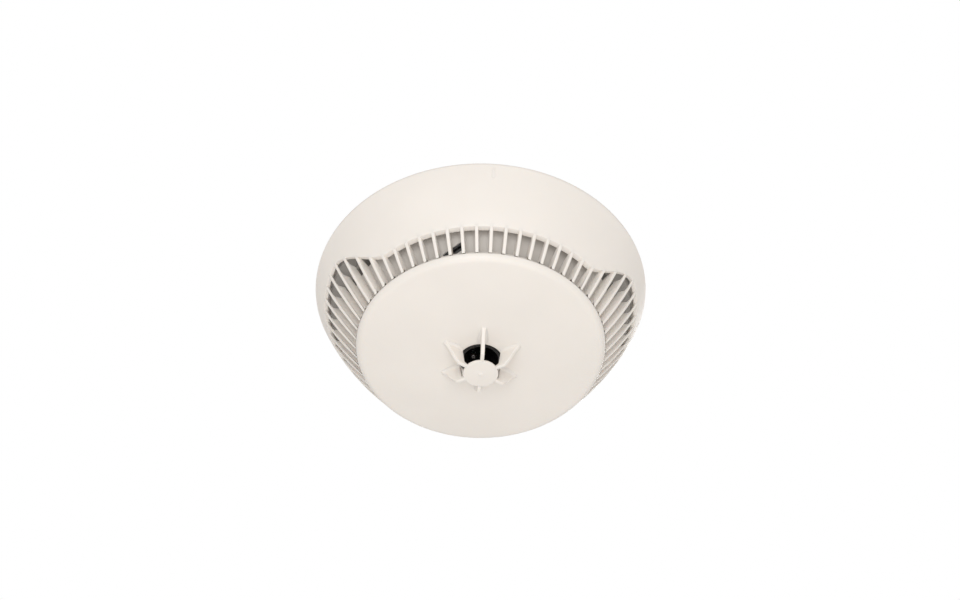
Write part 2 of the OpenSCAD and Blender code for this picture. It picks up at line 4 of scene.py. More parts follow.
import bmesh
import bpy
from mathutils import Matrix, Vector


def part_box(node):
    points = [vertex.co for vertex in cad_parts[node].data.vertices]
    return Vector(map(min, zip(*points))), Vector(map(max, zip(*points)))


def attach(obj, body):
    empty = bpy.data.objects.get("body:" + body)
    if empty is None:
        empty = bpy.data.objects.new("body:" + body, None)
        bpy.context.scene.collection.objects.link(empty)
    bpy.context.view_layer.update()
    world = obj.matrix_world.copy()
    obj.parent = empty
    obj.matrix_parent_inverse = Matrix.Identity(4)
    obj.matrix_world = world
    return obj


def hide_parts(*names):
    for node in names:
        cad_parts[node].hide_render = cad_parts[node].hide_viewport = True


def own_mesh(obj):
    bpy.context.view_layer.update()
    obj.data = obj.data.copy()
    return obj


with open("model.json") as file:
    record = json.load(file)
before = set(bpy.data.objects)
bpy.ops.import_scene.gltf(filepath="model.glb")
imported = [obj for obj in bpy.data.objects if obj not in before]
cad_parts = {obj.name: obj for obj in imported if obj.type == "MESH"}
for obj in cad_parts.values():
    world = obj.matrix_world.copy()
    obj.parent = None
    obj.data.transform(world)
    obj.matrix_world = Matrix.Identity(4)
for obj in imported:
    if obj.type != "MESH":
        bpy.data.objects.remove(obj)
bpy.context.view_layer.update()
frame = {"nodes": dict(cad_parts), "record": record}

# ---------------------------------------------------------------------------
# Driving sizes, in metres. A drop is a distance below the cover's widest circle.
# ---------------------------------------------------------------------------
MM = 0.001
# The angle of the front, round the axis from the frame's x axis.
FRONT = -math.pi / 2

COVER_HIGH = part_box("outer_cover")[1]
RIM_LIP = 0.4 * MM
COVER_R = COVER_HIGH.x
RIM_Z = COVER_HIGH.z - RIM_LIP
DISC_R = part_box("test_button")[1].x

COVER_WALL = 2.6 * MM
LIP_AT_SIDES = 1.5 * MM
# The inner stop behind the rear housing's edge, which keeps light out of the vents.
STOP_R = 62.5 * MM
STOP_BACK, STOP_FRONT = 6.8 * MM, 7.8 * MM
FLANK_ARC_R = 139.5 * MM
FLANK_ARC_BACK = 55.0 * MM
FOOT_DROP = 31.4 * MM
FOOT_END_DROP = 31.7 * MM

FIN_COUNT = 62
FIN_THICK = 1.3 * MM
FIN_DEPTH = 4.5 * MM
FIN_BAR_DEPTH = 0.9 * MM
FIN_EDGE_ROUND = 0.22 * MM
NOTCH_DROP = 15.0 * MM
# The ring that ties the fins' feet: its drops, and its edges inside and outside RING_R.
RING_BACK, RING_FRONT = 29.0 * MM, 30.1 * MM
RING_INSIDE, RING_OUTSIDE = 0.6 * MM, 1.2 * MM
RING_COLUMNS = 240
# The alignment rib on the front of the flank: its drops, and how far it stands proud.
RIB_BACK, RIB_FRONT = 1.8 * MM, 5.7 * MM
RIB_THICK = 1.25 * MM
RIB_PROUD = 0.3 * MM
RIB_SUNK = 0.5 * MM
RIB_EDGE_ROUND = 0.15 * MM
COVER_COLUMNS = 720
VENT_LOW_DROP = 23.4 * MM
VENT_HIGH_DROP = 9.5 * MM
VENT_FULL_DEG = 18.0
VENT_FADE_DEG = 46.0

DISC_EDGE_DROP = 31.85 * MM
DISC_BEVEL_R = 3.36 * MM
BEVEL_FROM_DEG, BEVEL_TO_DEG = 8.5, 78.0
DISC_CROWN = 3.2 * MM
DISC_WALL = 2.0 * MM
DISC_COLUMNS = 360
SEAT_GAP = 0.12 * MM

BLADE_COUNT = 6
BLADE_THICK = 1.5 * MM
BLADE_TIP_R = 17.5 * MM
CAGE_HEIGHT = 8.0 * MM
CAP_R = 7.0 * MM
NUB_R = 0.8 * MM
NUB_HEIGHT = 0.6 * MM
CAP_COLUMNS = 96
SENSOR_HOLE_R = 8.8 * MM
GUIDE_WALL = 1.2 * MM
SILL_HEIGHT = 0.3 * MM
MOUND_R = 12.0 * MM

# The camera stands below the detector, a little to the side of its front rib.
CAMERA_TURN_DEG = -4.2
CAMERA_RISE_DEG = -49.36
CAMERA_DISTANCE = 8 * COVER_R
CAMERA_LENS_MM = 49.36
CAMERA_AIM = Vector((-0.28 * MM, 0, RIM_Z - 0.46 * MM))


# ---------------------------------------------------------------------------
# Outlines
# ---------------------------------------------------------------------------
def flank_r(drop):
    """Radius of the cover's outer surface at a drop."""
    at_rim = math.sqrt(FLANK_ARC_R**2 - FLANK_ARC_BACK**2)
    return COVER_R - at_rim + math.sqrt(FLANK_ARC_R**2 - (FLANK_ARC_BACK + drop) ** 2)


def smooth(t):
    """Eases 0..1 to 0..1, flat at both ends."""
    t = max(0.0, min(1.0, t))
    return t * t * (3 - 2 * t)


def vent_top(angle):
    """Drop of the vents' upper edge at an angle round the cover, in radians."""
    from_side = math.degrees(math.asin(abs(math.sin(angle))))
    fade = smooth((from_side - VENT_FULL_DEG) / (VENT_FADE_DEG - VENT_FULL_DEG))
    return VENT_HIGH_DROP + (VENT_LOW_DROP - VENT_HIGH_DROP) * fade


def lip_width(top):
    """Width of the vents' lip: full at the front, chamfered slimmer in the side openings."""
    share = smooth((top - VENT_HIGH_DROP) / (VENT_LOW_DROP - VENT_HIGH_DROP))
    return LIP_AT_SIDES + (COVER_WALL - LIP_AT_SIDES) * share


RING_R = flank_r(RING_FRONT) - FIN_DEPTH
BEVEL_MID = (
    DISC_R - DISC_BEVEL_R * math.cos(math.radians(BEVEL_FROM_DEG)),
    DISC_EDGE_DROP - DISC_BEVEL_R * math.sin(math.radians(BEVEL_FROM_DEG)),
)
FACE_EDGE_DROP = BEVEL_MID[1] + DISC_BEVEL_R * math.sin(math.radians(BEVEL_TO_DEG))
FACE_R = BEVEL_MID[0] + DISC_BEVEL_R * math.cos(math.radians(BEVEL_TO_DEG))


def face_drop(r):
    """Drop of the disc's outer face at a radius."""
    return FACE_EDGE_DROP + DISC_CROWN * (1 - (r / FACE_R) ** 2)


def mound(r):
    """Height of the soft mound that rises to the sill round the sensor hole."""
    return SILL_HEIGHT * smooth((MOUND_R - r) / (MOUND_R - SENSOR_HOLE_R))


def between(a, b, count):
    """Evenly stepped numbers from a to b, both included."""
    return [a + (b - a) * i / count for i in range(count + 1)]


def round_corner(before, corner, after, radius, count=5):
    """Points of the arc that rounds a corner of an outline."""
    p, c, q = Vector(before), Vector(corner), Vector(after)
    to_p, to_q = (p - c).normalized(), (q - c).normalized()
    half = to_p.angle(to_q) / 2
    reach = min(radius / math.tan(half), (p - c).length * 0.48, (q - c).length * 0.48)
    radius = reach * math.tan(half)
    mid = c + (to_p + to_q).normalized() * (radius / math.sin(half))
    start, end = c + to_p * reach - mid, c + to_q * reach - mid
    turn = start.angle(end)
    return [
        tuple(mid + (start * math.sin(turn * (1 - t)) + end * math.sin(turn * t)) / math.sin(turn))
        for t in between(0, 1, count)
    ]


def rounded(outline, radii, count=5):
    """A closed outline with some corners rounded; radii maps a corner's index to its radius."""
    made = []
    for i, corner in enumerate(outline):
        if i in radii:
            after = outline[(i + 1) % len(outline)]
            made += round_corner(outline[i - 1], corner, after, radii[i], count)
        else:
            made.append(tuple(corner))
    return made


# ---------------------------------------------------------------------------
# Mesh helpers
# ---------------------------------------------------------------------------
def hung(r, angle, drop):
    """The point in the frame at a radius, an angle and a drop."""
    return (r * math.cos(angle), r * math.sin(angle), RIM_Z - drop)


def add_grid(verts, faces, rows, close_rows, close_columns, flip=False):
    """Adds a grid of points, given as rows, to lists of vertices and faces."""
    first = len(verts)
    width = len(rows[0])
    for row in rows:
        verts.extend(row)
    for i in range(len(rows) if close_rows else len(rows) - 1):
        a = first + i * width
        b = first + ((i + 1) % len(rows)) * width
        for k in range(width if close_columns else width - 1):
            m = (k + 1) % width
            face = (a + k, a + m, b + m, b + k)
            faces.append(face[::-1] if flip else face)


def add_fan(verts, faces, ring_first, ring_count, centre, flip=False):
    """Closes a ring of vertices with a fan round one new vertex."""
    verts.append(centre)
    hub = len(verts) - 1
    for k in range(ring_count):
        face = (ring_first + k, ring_first + (k + 1) % ring_count, hub)
        faces.append(face[::-1] if flip else face)


def make_object(name, verts, faces, body, material):
    """A smooth-shaded mesh object that rides on a body."""
    mesh = bpy.data.meshes.new(name)
    mesh.from_pydata(verts, [], faces)
    mesh.validate()
    mesh.shade_smooth()
    mesh.materials.append(material)
    obj = bpy.data.objects.new(name, mesh)
    bpy.context.scene.collection.objects.link(obj)
    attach(obj, body)
    return obj


def make_normals_point_out(obj):
    """Turns every face of a closed mesh outwards."""
    work = bmesh.new()
    work.from_mesh(obj.data)
    bmesh.ops.recalc_face_normals(work, faces=work.faces)
    work.to_mesh(obj.data)
    work.free()


def soften(obj, width, segments=2, angle_deg=35):
    """Rounds the sharp edges of a piece without changing its own mesh."""
    bevel = obj.modifiers.new("edge_round", "BEVEL")
    bevel.width = width
    bevel.segments = segments
    bevel.limit_method = "ANGLE"
    bevel.angle_limit = math.radians(angle_deg)
    bevel.harden_normals = True
    bevel.use_clamp_overlap = True


# ---------------------------------------------------------------------------
# Materials
# ---------------------------------------------------------------------------
def new_material(name):
    """A new material, with its nodes, its links and its main shader."""
    material = bpy.data.materials.new(name)
    material.use_nodes = True
    nodes = material.node_tree.nodes
    return material, nodes, material.node_tree.links, nodes["Principled BSDF"]


def object_coordinates(nodes, links, scale):
    """The piece's own coordinates, stretched by a scale on each axis."""
    place = nodes.new("ShaderNodeTexCoord")
    mapping = nodes.new("ShaderNodeMapping")
    mapping.inputs["Scale"].default_value = scale
    links.new(place.outputs["Object"], mapping.inputs["Vector"])
    return mapping.outputs["Vector"]


def noise(nodes, links, vector, scale, detail=4.0, roughness=0.5):
    """The grey value of a noise texture."""
    node = nodes.new("ShaderNodeTexNoise")
    node.inputs["Scale"].default_value = scale
    node.inputs["Detail"].default_value = detail
    node.inputs["Roughness"].default_value = roughness
    links.new(vector, node.inputs["Vector"])
    return node.outputs["Fac"]


def ramp(nodes, links, factor, stops):
    """A colour ramp through (position, colour) stops."""
    node = nodes.new("ShaderNodeValToRGB")
    elements = node.color_ramp.elements
    elements[0].position, elements[0].color = stops[0][0], (*stops[0][1], 1)
    elements[1].position, elements[1].color = stops[-1][0], (*stops[-1][1], 1)
    for position, colour in stops[1:-1]:
        element = elements.new(position)
        element.color = (*colour, 1)
    links.new(factor, node.inputs["Fac"])
    return node.outputs["Color"]


def scaled(nodes, links, value, low, high):
    """Maps 0..1 to low..high."""
    node = nodes.new("ShaderNodeMapRange")
    node.inputs["To Min"].default_value = low
    node.inputs["To Max"].default_value = high
    links.new(value, node.inputs["Value"])
    return node.outputs["Result"]


def bump(nodes, links, bsdf, height, distance, strength=1.0):
    """Lets a grey value raise the surface by a distance."""
    node = nodes.new("ShaderNodeBump")
    node.inputs["Strength"].default_value = strength
    node.inputs["Distance"].default_value = distance
    links.new(height, node.inputs["Height"])
    links.new(node.outputs["Normal"], bsdf.inputs["Normal"])


def shade(colour, by):
    """A colour made darker or lighter by a factor."""
    return tuple(max(0.0, min(1.0, c * by)) for c in colour)


def moulded_plastic(name, colour, rough=0.42, grain=0.012 * MM, specular=0.5, glow=0.0):
    """Injection-moulded plastic: a fine spark-eroded grain and a faint cloudiness in the colour."""
    material, nodes, links, bsdf = new_material(name)
    vector = object_coordinates(nodes, links, (1, 1, 1))
    cloud = noise(nodes, links, vector, 28, 3)
    grain_noise = noise(nodes, links, vector, 2600, 2, 0.6)
    colours = ramp(nodes, links, cloud, [(0.3, shade(colour, 0.975)), (0.7, shade(colour, 1.015))])
    links.new(colours, bsdf.inputs["Base Color"])
    links.new(scaled(nodes, links, cloud, rough - 0.05, rough + 0.06), bsdf.inputs["Roughness"])
    bump(nodes, links, bsdf, grain_noise, grain)
    bsdf.inputs["Specular IOR Level"].default_value = specular
    if glow:
        bsdf.inputs["Subsurface Weight"].default_value = glow
        bsdf.inputs["Subsurface Radius"].default_value = (1.0, 0.8, 0.6)
        bsdf.inputs["Subsurface Scale"].default_value = 1.0 * MM
    return material


def metal(name, colour, rough=0.3, streak=(1, 1, 1), streak_scale=900):
    """Plated or drawn metal with fine tool marks."""
    material, nodes, links, bsdf = new_material(name)
    vector = object_coordinates(nodes, links, streak)
    marks = noise(nodes, links, vector, streak_scale, 3, 0.6)
    colours = ramp(nodes, links, marks, [(0.3, shade(colour, 0.86)), (0.7, shade(colour, 1.08))])
    links.new(colours, bsdf.inputs["Base Color"])
    links.new(scaled(nodes, links, marks, rough - 0.08, rough + 0.12), bsdf.inputs["Roughness"])
    bsdf.inputs["Metallic"].default_value = 1.0
    bump(nodes, links, bsdf, marks, 0.01 * MM)
    return material


def coated(name, colour, rough=0.2, coat=0.3):
    """Dipped or sleeved component bodies: glossy, with slight orange peel."""
    material, nodes, links, bsdf = new_material(name)
    vector = object_coordinates(nodes, links, (1, 1, 1))
    peel = noise(nodes, links, vector, 900, 2)
    colours = ramp(nodes, links, peel, [(0.3, shade(colour, 0.9)), (0.7, shade(colour, 1.08))])
    links.new(colours, bsdf.inputs["Base Color"])
    links.new(scaled(nodes, links, peel, rough - 0.05, rough + 0.08), bsdf.inputs["Roughness"])
    bsdf.inputs["Coat Weight"].default_value = coat
    bump(nodes, links, bsdf, peel, 0.03 * MM)
    return material


def board_material():
    """Green solder resist over copper tracks that show as a slightly raised, lighter pattern."""
    material, nodes, links, bsdf = new_material("board_laminate")
    vector = object_coordinates(nodes, links, (1, 1, 1))
    cells = nodes.new("ShaderNodeTexBrick")
    cells.inputs["Scale"].default_value = 160
    cells.inputs["Mortar Size"].default_value = 0.012
    cells.inputs["Color1"].default_value = (0.01, 0.09, 0.04, 1)
    cells.inputs["Color2"].default_value = (0.012, 0.11, 0.05, 1)
    cells.inputs["Mortar"].default_value = (0.03, 0.22, 0.1, 1)
    links.new(vector, cells.inputs["Vector"])
    links.new(cells.outputs["Color"], bsdf.inputs["Base Color"])
    bsdf.inputs["Roughness"].default_value = 0.35
    bump(nodes, links, bsdf, cells.outputs["Fac"], 0.035 * MM)
    return material


WARM_WHITE = (0.85, 0.80, 0.745)
MATERIALS = {
    "cover_plastic": moulded_plastic("cover_plastic", WARM_WHITE, rough=0.46, glow=0.12),
    "disc_plastic": moulded_plastic("disc_plastic", shade(WARM_WHITE, 0.99), rough=0.34, glow=0.12),
    # Painted shade: the chassis's white plastic is darkened to 0.78 to stand for the dimmer light that
    # reaches the inner wall through the vents.
    "chassis_plastic": moulded_plastic("chassis_plastic", shade(WARM_WHITE, 0.78), rough=0.5),
    # Painted shade: the rear housing's white plastic is darkened to 0.42 to stand for the deep shade in
    # the space above the vents.
    "rear_plastic": moulded_plastic("rear_plastic", shade(WARM_WHITE, 0.42), rough=0.5),
    "base_plastic": moulded_plastic("base_plastic", shade(WARM_WHITE, 0.97), rough=0.5),
    "black_plastic": moulded_plastic("black_plastic", (0.012, 0.011, 0.011), rough=0.45),
    "grommet_rubber": moulded_plastic("grommet_rubber", (0.03, 0.03, 0.03), rough=0.7, grain=0.04 * MM),
    "terminal_plastic": moulded_plastic("terminal_plastic", (0.7, 0.67, 0.56), rough=0.4),
    "chip_resin": moulded_plastic("chip_resin", (0.02, 0.02, 0.02), rough=0.6),
    "plunger_plastic": moulded_plastic("plunger_plastic", (0.5, 0.05, 0.03), rough=0.4),
    "sounder_ceramic": moulded_plastic("sounder_ceramic", (0.62, 0.62, 0.6), rough=0.35),
    "contact_brass": metal("contact_brass", (0.72, 0.5, 0.2), rough=0.28),
    "screw_steel": metal("screw_steel", (0.62, 0.6, 0.56), rough=0.32),
    "tinned_wire": metal("tinned_wire", (0.75, 0.75, 0.74), rough=0.25),
    "cell_steel": metal("cell_steel", (0.66, 0.66, 0.66), rough=0.26, streak=(1, 40, 1), streak_scale=60),
    "spring_steel": metal("spring_steel", (0.5, 0.5, 0.5), rough=0.3),
    "board_laminate": board_material(),
    "bead_glaze": coated("bead_glaze", (0.02, 0.012, 0.01), rough=0.1, coat=0.8),
    "film_capacitor_case": coated("film_capacitor_case", (0.62, 0.45, 0.07)),
    "capacitor_sleeve": coated("capacitor_sleeve", (0.012, 0.018, 0.06)),
    "varistor_coating": coated("varistor_coating", (0.03, 0.1, 0.42)),
    "lamp_resin": coated("lamp_resin", (0.25, 0.6, 0.28), rough=0.12, coat=0.6),
}


# ---------------------------------------------------------------------------
# Outer cover
# ---------------------------------------------------------------------------
def cover_section(top):
    """Outline of the cover's wall where the vents' upper edge is at the drop top."""
    edge_round = 0.35 * MM
    lip_from = top - 1.4 * MM
    outer = [(flank_r(d), d) for d in between(0, lip_from, 26)]
    inner = [(flank_r(d) - COVER_WALL, d) for d in between(lip_from, STOP_FRONT, 10)]
    inner += [(STOP_R, STOP_FRONT), (STOP_R, STOP_BACK)]
    inner += [(flank_r(d) - COVER_WALL, d) for d in between(STOP_BACK, 0.8 * MM, 8)]
    lip_out, lip_in = (flank_r(top), top), (flank_r(top) - lip_width(top), top)
    rim_in = (COVER_R - COVER_WALL, -RIM_LIP)
    rim_out = (COVER_R - RIM_LIP, -RIM_LIP)
    return (
        outer
        + round_corner(outer[-1], lip_out, lip_in, edge_round)
        + round_corner(lip_out, lip_in, inner[0], edge_round)
        + inner
        + round_corner(inner[-1], rim_in, rim_out, 0.3 * MM)
        + [rim_out]
    )


def fin_outline(top):
    """Outline of one fin beside a vent whose upper edge is at the drop top."""
    seat_r = DISC_R + SEAT_GAP
    ring_end = RING_FRONT + 0.2 * MM
    sunk = 0.06 * MM
    outer = [(flank_r(d) - sunk, d) for d in between(top - 1.0 * MM, FOOT_DROP, 16)]
    foot = [
        (flank_r(FOOT_END_DROP) - sunk, FOOT_END_DROP),
        (seat_r, FOOT_END_DROP),
        (seat_r, ring_end),
        (RING_R, ring_end),
    ]
    deep_top = max(top, NOTCH_DROP) + 3.0 * MM
    inner = [(flank_r(d) - FIN_DEPTH, d) for d in between(RING_BACK, deep_top, 10)]
    if top < NOTCH_DROP - 0.5 * MM:
        # In the side openings: deep below the notch, and a thin bar above it.
        shoulder_r = 1.1 * MM
        mid = (flank_r(NOTCH_DROP) - FIN_DEPTH + shoulder_r, NOTCH_DROP + shoulder_r)
        nose = [
            (mid[0] - shoulder_r * math.cos(a), mid[1] - shoulder_r * math.sin(a))
            for a in between(0, math.pi / 2, 5)
        ]
        corner_r = 0.5 * MM
        corner = (flank_r(NOTCH_DROP) - FIN_BAR_DEPTH - corner_r, NOTCH_DROP - corner_r)
        nose += [
            (corner[0] + corner_r * math.sin(a), corner[1] + corner_r * math.cos(a))
            for a in between(0, math.pi / 2, 3)
        ]
        nose += [(flank_r(d) - FIN_BAR_DEPTH, d) for d in between(NOTCH_DROP - MM, top - MM, 6)]
    else:
        # At the front and back: deep up to a slope just below the vents' edge.
        nose = [
            (flank_r(top + 1.9 * MM) - FIN_DEPTH + 0.5 * MM, top + 1.9 * MM),
            (flank_r(top + 0.9 * MM) - FIN_DEPTH + 1.2 * MM, top + 0.9 * MM),
            (flank_r(top - 0.5 * MM) - lip_width(top) + 0.5 * MM, top - 0.5 * MM),
        ]
    return outer + foot + inner + nose


def inset(outline, by):
    """An outline, drawn in either direction, moved inwards by a distance."""
    count = len(outline)
    area = sum(
        outline[i][0] * outline[(i + 1) % count][1] - outline[(i + 1) % count][0] * outline[i][1]
        for i in range(count)
    )
    side = 1 if area > 0 else -1
    moved = []
    for i, (x, y) in enumerate(outline):
        a, b = Vector(outline[i - 1]), Vector(outline[(i + 1) % count])
        along = (b - a).normalized()
        moved.append((x - side * by * along.y, y + side * by * along.x))
    return moved


def add_plate(verts, faces, outline, thick, edge_round, angle):
    """A plate in the plane through the axis at an angle, with its long edges rounded."""
    half = thick / 2
    edge_steps = 4
    layers = []
    for turn in between(0, math.pi / 2, edge_steps):
        layers.append((edge_round * (1 - math.sin(turn)), -half + edge_round * (1 - math.cos(turn))))
    layers += [(offset, -across) for offset, across in reversed(layers)]
    out = Vector((math.cos(angle), math.sin(angle), 0))
    aside = Vector((-math.sin(angle), math.cos(angle), 0))
    first = len(verts)
    rows = []
    for offset, across in layers:
        rows.append([
            tuple(out * r + aside * across + Vector((0, 0, RIM_Z - drop)))
            for r, drop in (inset(outline, offset) if offset > 1e-7 else outline)
        ])
    add_grid(verts, faces, rows, False, True)
    width = len(outline)
    faces.append(tuple(range(first + width - 1, first - 1, -1)))
    last = first + (len(rows) - 1) * width
    faces.append(tuple(range(last, last + width)))


def add_turned_band(verts, faces, section_at, columns):
    """A closed band round the axis; section_at gives its outline at an angle."""
    rows = []
    for i in range(columns):
        angle = 2 * math.pi * i / columns
        rows.append([hung(r, angle, drop) for r, drop in section_at(angle)])
    add_grid(verts, faces, rows, True, True)


def ring_section():
    """Outline of the ring that ties the fins' feet."""
    low, high = RING_R - RING_INSIDE, RING_R + RING_OUTSIDE
    corners = [(low, RING_BACK), (high, RING_BACK), (high, RING_FRONT), (low, RING_FRONT)]
    return rounded(corners, {k: 0.25 * MM for k in range(4)}, 3)


def rib_outline():
    """Outline of the alignment rib, from the back to the front."""
    corners = [
        (flank_r(RIB_BACK) - RIB_SUNK, RIB_BACK),
        (flank_r(RIB_BACK) + RIB_PROUD, RIB_BACK),
        (flank_r(RIB_FRONT) + RIB_PROUD, RIB_FRONT),
        (flank_r(RIB_FRONT) - RIB_SUNK, RIB_FRONT),
    ]
    return rounded(corners, {1: 0.25 * MM, 2: 0.25 * MM}, 3)


def build_outer_cover():
    verts, faces = [], []
    add_turned_band(verts, faces, lambda angle: cover_section(vent_top(angle)), COVER_COLUMNS)
    for i in range(FIN_COUNT):
        angle = FRONT + 2 * math.pi * i / FIN_COUNT
        add_plate(verts, faces, fin_outline(vent_top(angle)), FIN_THICK, FIN_EDGE_ROUND, angle)
    ring = ring_section()
    add_turned_band(verts, faces, lambda angle: ring, RING_COLUMNS)
    add_plate(verts, faces, rib_outline(), RIB_THICK, RIB_EDGE_ROUND, FRONT)
    cover = make_object("cover_shell", verts, faces, "head", MATERIALS["cover_plastic"])
    make_normals_point_out(cover)
    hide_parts("outer_cover")
    return cover


# ---------------------------------------------------------------------------
# Front disc with the sensor cage
# ---------------------------------------------------------------------------
def disc_section():
    """Outline of the disc's wall, from the sensor hole outwards and back."""
    hole_round = 0.45 * MM
    hole_lip = (SENSOR_HOLE_R, face_drop(SENSOR_HOLE_R) + mound(SENSOR_HOLE_R))
    face = [
        (r, face_drop(r) + mound(r)) for r in between(SENSOR_HOLE_R + 0.9 * MM, FACE_R - 0.3 * MM, 40)
    ]
    bevel = [
        (
            BEVEL_MID[0] + DISC_BEVEL_R * math.cos(math.radians(a)),
            BEVEL_MID[1] + DISC_BEVEL_R * math.sin(math.radians(a)),
        )
        for a in between(BEVEL_TO_DEG - 4, BEVEL_FROM_DEG, 12)
    ]
    inner_r = DISC_BEVEL_R - 0.9 * DISC_WALL
    under = [
        (
            BEVEL_MID[0] + inner_r * math.cos(math.radians(a)),
            BEVEL_MID[1] + inner_r * math.sin(math.radians(a)),
        )
        for a in between(20, BEVEL_TO_DEG, 4)
    ]
    guide_r = SENSOR_HOLE_R + GUIDE_WALL
    back = [(r, face_drop(r) - DISC_WALL) for r in between(FACE_R - 2 * MM, guide_r, 12)]
    guide_end = DISC_EDGE_DROP - 0.45 * MM
    tube = [(guide_r, guide_end), (SENSOR_HOLE_R, guide_end)]
    lip = round_corner(tube[-1], hole_lip, face[0], hole_round)
    return lip + face + bevel + under + back + tube


def along_curve(points, at):
    """Straight-line interpolation through (place, value) points."""
    for (a, low), (b, high) in zip(points, points[1:]):
        if at <= b:
            return low + (high - low) * max(0.0, (at - a) / (b - a))
    return points[-1][1]


# A blade's outer and inner edges: height above the middle of the face, and radius.
BLADE_OUTER = [
    (-0.2 * MM, BLADE_TIP_R),
    (2.1 * MM, 15.2 * MM),
    (5.4 * MM, 13.0 * MM),
    (8.0 * MM, 10.6 * MM),
]
BLADE_INNER = [(0.3 * MM, 9.05 * MM), (6.0 * MM, 8.15 * MM), (6.7 * MM, 7.6 * MM), (7.1 * MM, 6.0 * MM)]


def blade_levels():
    """Levels of a blade, from inside the disc's wall to its top.

    Each is a drop, an inner and an outer radius, half the width, and the fillet's flare.
    Heights are above the middle of the disc's face, which has the largest drop.
    """
    fillet = 1.1 * MM
    half = BLADE_THICK / 2
    low = face_drop(BLADE_TIP_R) - face_drop(0) - 0.5 * MM
    heights = between(low, 1.1 * MM, 12) + between(1.3 * MM, CAGE_HEIGHT - 0.3 * MM, 16)
    made = []
    for height in heights:
        above = max(0.0, height + 0.2 * MM)
        flare = fillet - math.sqrt(max(0.0, fillet**2 - max(0.0, fillet - above) ** 2))
        inner = along_curve(BLADE_INNER, height)
        outer = along_curve(BLADE_OUTER, height)
        made.append((face_drop(0) + height, inner, outer, half, flare))
    drop, inner, outer, width, flare = made[-1]
    for shrink, rise in ((0.06, 0.15), (0.16, 0.24), (0.3, 0.3)):
        made.append((drop + rise * MM, inner, outer - shrink * MM, width - shrink * MM, flare))
    return made


def add_blade(verts, faces, angle):
    """One blade of the cage, lofted through stadium-shaped levels."""
    end_steps = 6
    out = Vector((math.cos(angle), math.sin(angle), 0))
    aside = Vector((-math.sin(angle), math.cos(angle), 0))
    first = len(verts)
    rows = []
    for drop, inner, outer, half, flare in blade_levels():
        wide = half + 2.0 * flare
        tip = half + 0.3 * flare
        corners = [(outer, tip), (inner, wide), (inner, -wide), (outer, -tip)]
        loop = rounded(corners, {k: min(half, 0.35 * MM) for k in range(4)}, end_steps)
        rows.append([
            tuple(out * r + aside * across + Vector((0, 0, RIM_Z - drop))) for r, across in loop
        ])
    add_grid(verts, faces, rows, False, True)
    width = len(rows[0])
    last = first + (len(rows) - 1) * width
    faces.append(tuple(range(first, first + width)))
    faces.append(tuple(range(last + width - 1, last - 1, -1)))


def add_turned(verts, faces, outline, columns):
    """A solid of revolution round the axis; the outline starts and ends on the axis."""
    first = len(verts)
    inner = outline[1:-1]
    rows = [
        [hung(r, 2 * math.pi * k / columns, drop) for k in range(columns)] for r, drop in inner
    ]
    add_grid(verts, faces, rows, False, True)
    add_fan(verts, faces, first, columns, hung(0, 0, outline[0][1]))
    last = first + (len(rows) - 1) * columns
    add_fan(verts, faces, last, columns, hung(0, 0, outline[-1][1]), flip=True)


def cap_outline():
    """Outline of the cage's cap, with its small nub, from the back to the front."""
    top = face_drop(0) + CAGE_HEIGHT
    back, crown = top - 1.0 * MM, top + 0.32 * MM
    corners = [
        (0, back),
        (CAP_R, back),
        (CAP_R, top + 0.2 * MM),
        (NUB_R + 0.3 * MM, crown),
        (NUB_R, top + NUB_HEIGHT - 0.05 * MM),
        (0, top + NUB_HEIGHT),
    ]
    return rounded(corners, {1: 0.25 * MM, 2: 0.35 * MM, 3: 0.25 * MM, 4: 0.3 * MM}, 5)


def build_front_disc():
    verts, faces = [], []
    section = disc_section()
    add_turned_band(verts, faces, lambda angle: section, DISC_COLUMNS)
    for i in range(BLADE_COUNT):
        add_blade(verts, faces, FRONT + 2 * math.pi * i / BLADE_COUNT)
    add_turned(verts, faces, cap_outline(), CAP_COLUMNS)
    disc = make_object("front_disc", verts, faces, "button", MATERIALS["disc_plastic"])
    make_normals_point_out(disc)
    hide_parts("test_button")
    return disc


# ---------------------------------------------------------------------------
# Return springs between the chassis floor and the front disc
# ---------------------------------------------------------------------------
SPRING_AT_R = 36.0 * MM
SPRING_DEGREES = (20, 140, 260)
SPRING_R = 2.8 * MM
SPRING_TURNS = 3
WIRE_R = 0.25 * MM
WIRE_SIDES = 8
WIRE_STEPS = 90
CHASSIS_FRONT_DROP = 30.0 * MM


def coil_points(turns, steps, low, high):
    """The wire's middle line, as (turn, drop) points: a helix whose ends lie flat."""
    return [(2 * math.pi * turns * t, low + (high - low) * smooth(t)) for t in between(0, 1, steps)]


def build_return_springs():
    low = CHASSIS_FRONT_DROP + WIRE_R + 0.05 * MM
    high = face_drop(SPRING_AT_R + SPRING_R + WIRE_R) - DISC_WALL - WIRE_R - 0.1 * MM
    verts, faces = [], []
    for degrees in SPRING_DEGREES:
        out = math.radians(degrees)
        at = Vector((SPRING_AT_R * math.cos(out), SPRING_AT_R * math.sin(out), RIM_Z))
        rows = []
        for turn, drop in coil_points(SPRING_TURNS, WIRE_STEPS, low, high):
            row = []
            for k in range(WIRE_SIDES):
                a = 2 * math.pi * k / WIRE_SIDES
                r = SPRING_R + WIRE_R * math.cos(a)
                spot = Vector((r * math.cos(turn), r * math.sin(turn), -drop - WIRE_R * math.sin(a)))
                row.append(tuple(at + spot))
            rows.append(row)
        first = len(verts)
        add_grid(verts, faces, rows, False, True)
        faces.append(tuple(range(first, first + WIRE_SIDES)))
        last = first + (len(rows) - 1) * WIRE_SIDES
        faces.append(tuple(range(last + WIRE_SIDES - 1, last - 1, -1)))
    coils = make_object("return_coils", verts, faces, "head", MATERIALS["spring_steel"])
    make_normals_point_out(coils)
    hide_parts("return_springs")
    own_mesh(coils)
    return coils


# ---------------------------------------------------------------------------
# CAD parts that stay: better materials and softened edges
# ---------------------------------------------------------------------------
SLOT_OF = {row["node"]: row["material_slot"] for row in frame["record"]["subparts"]}

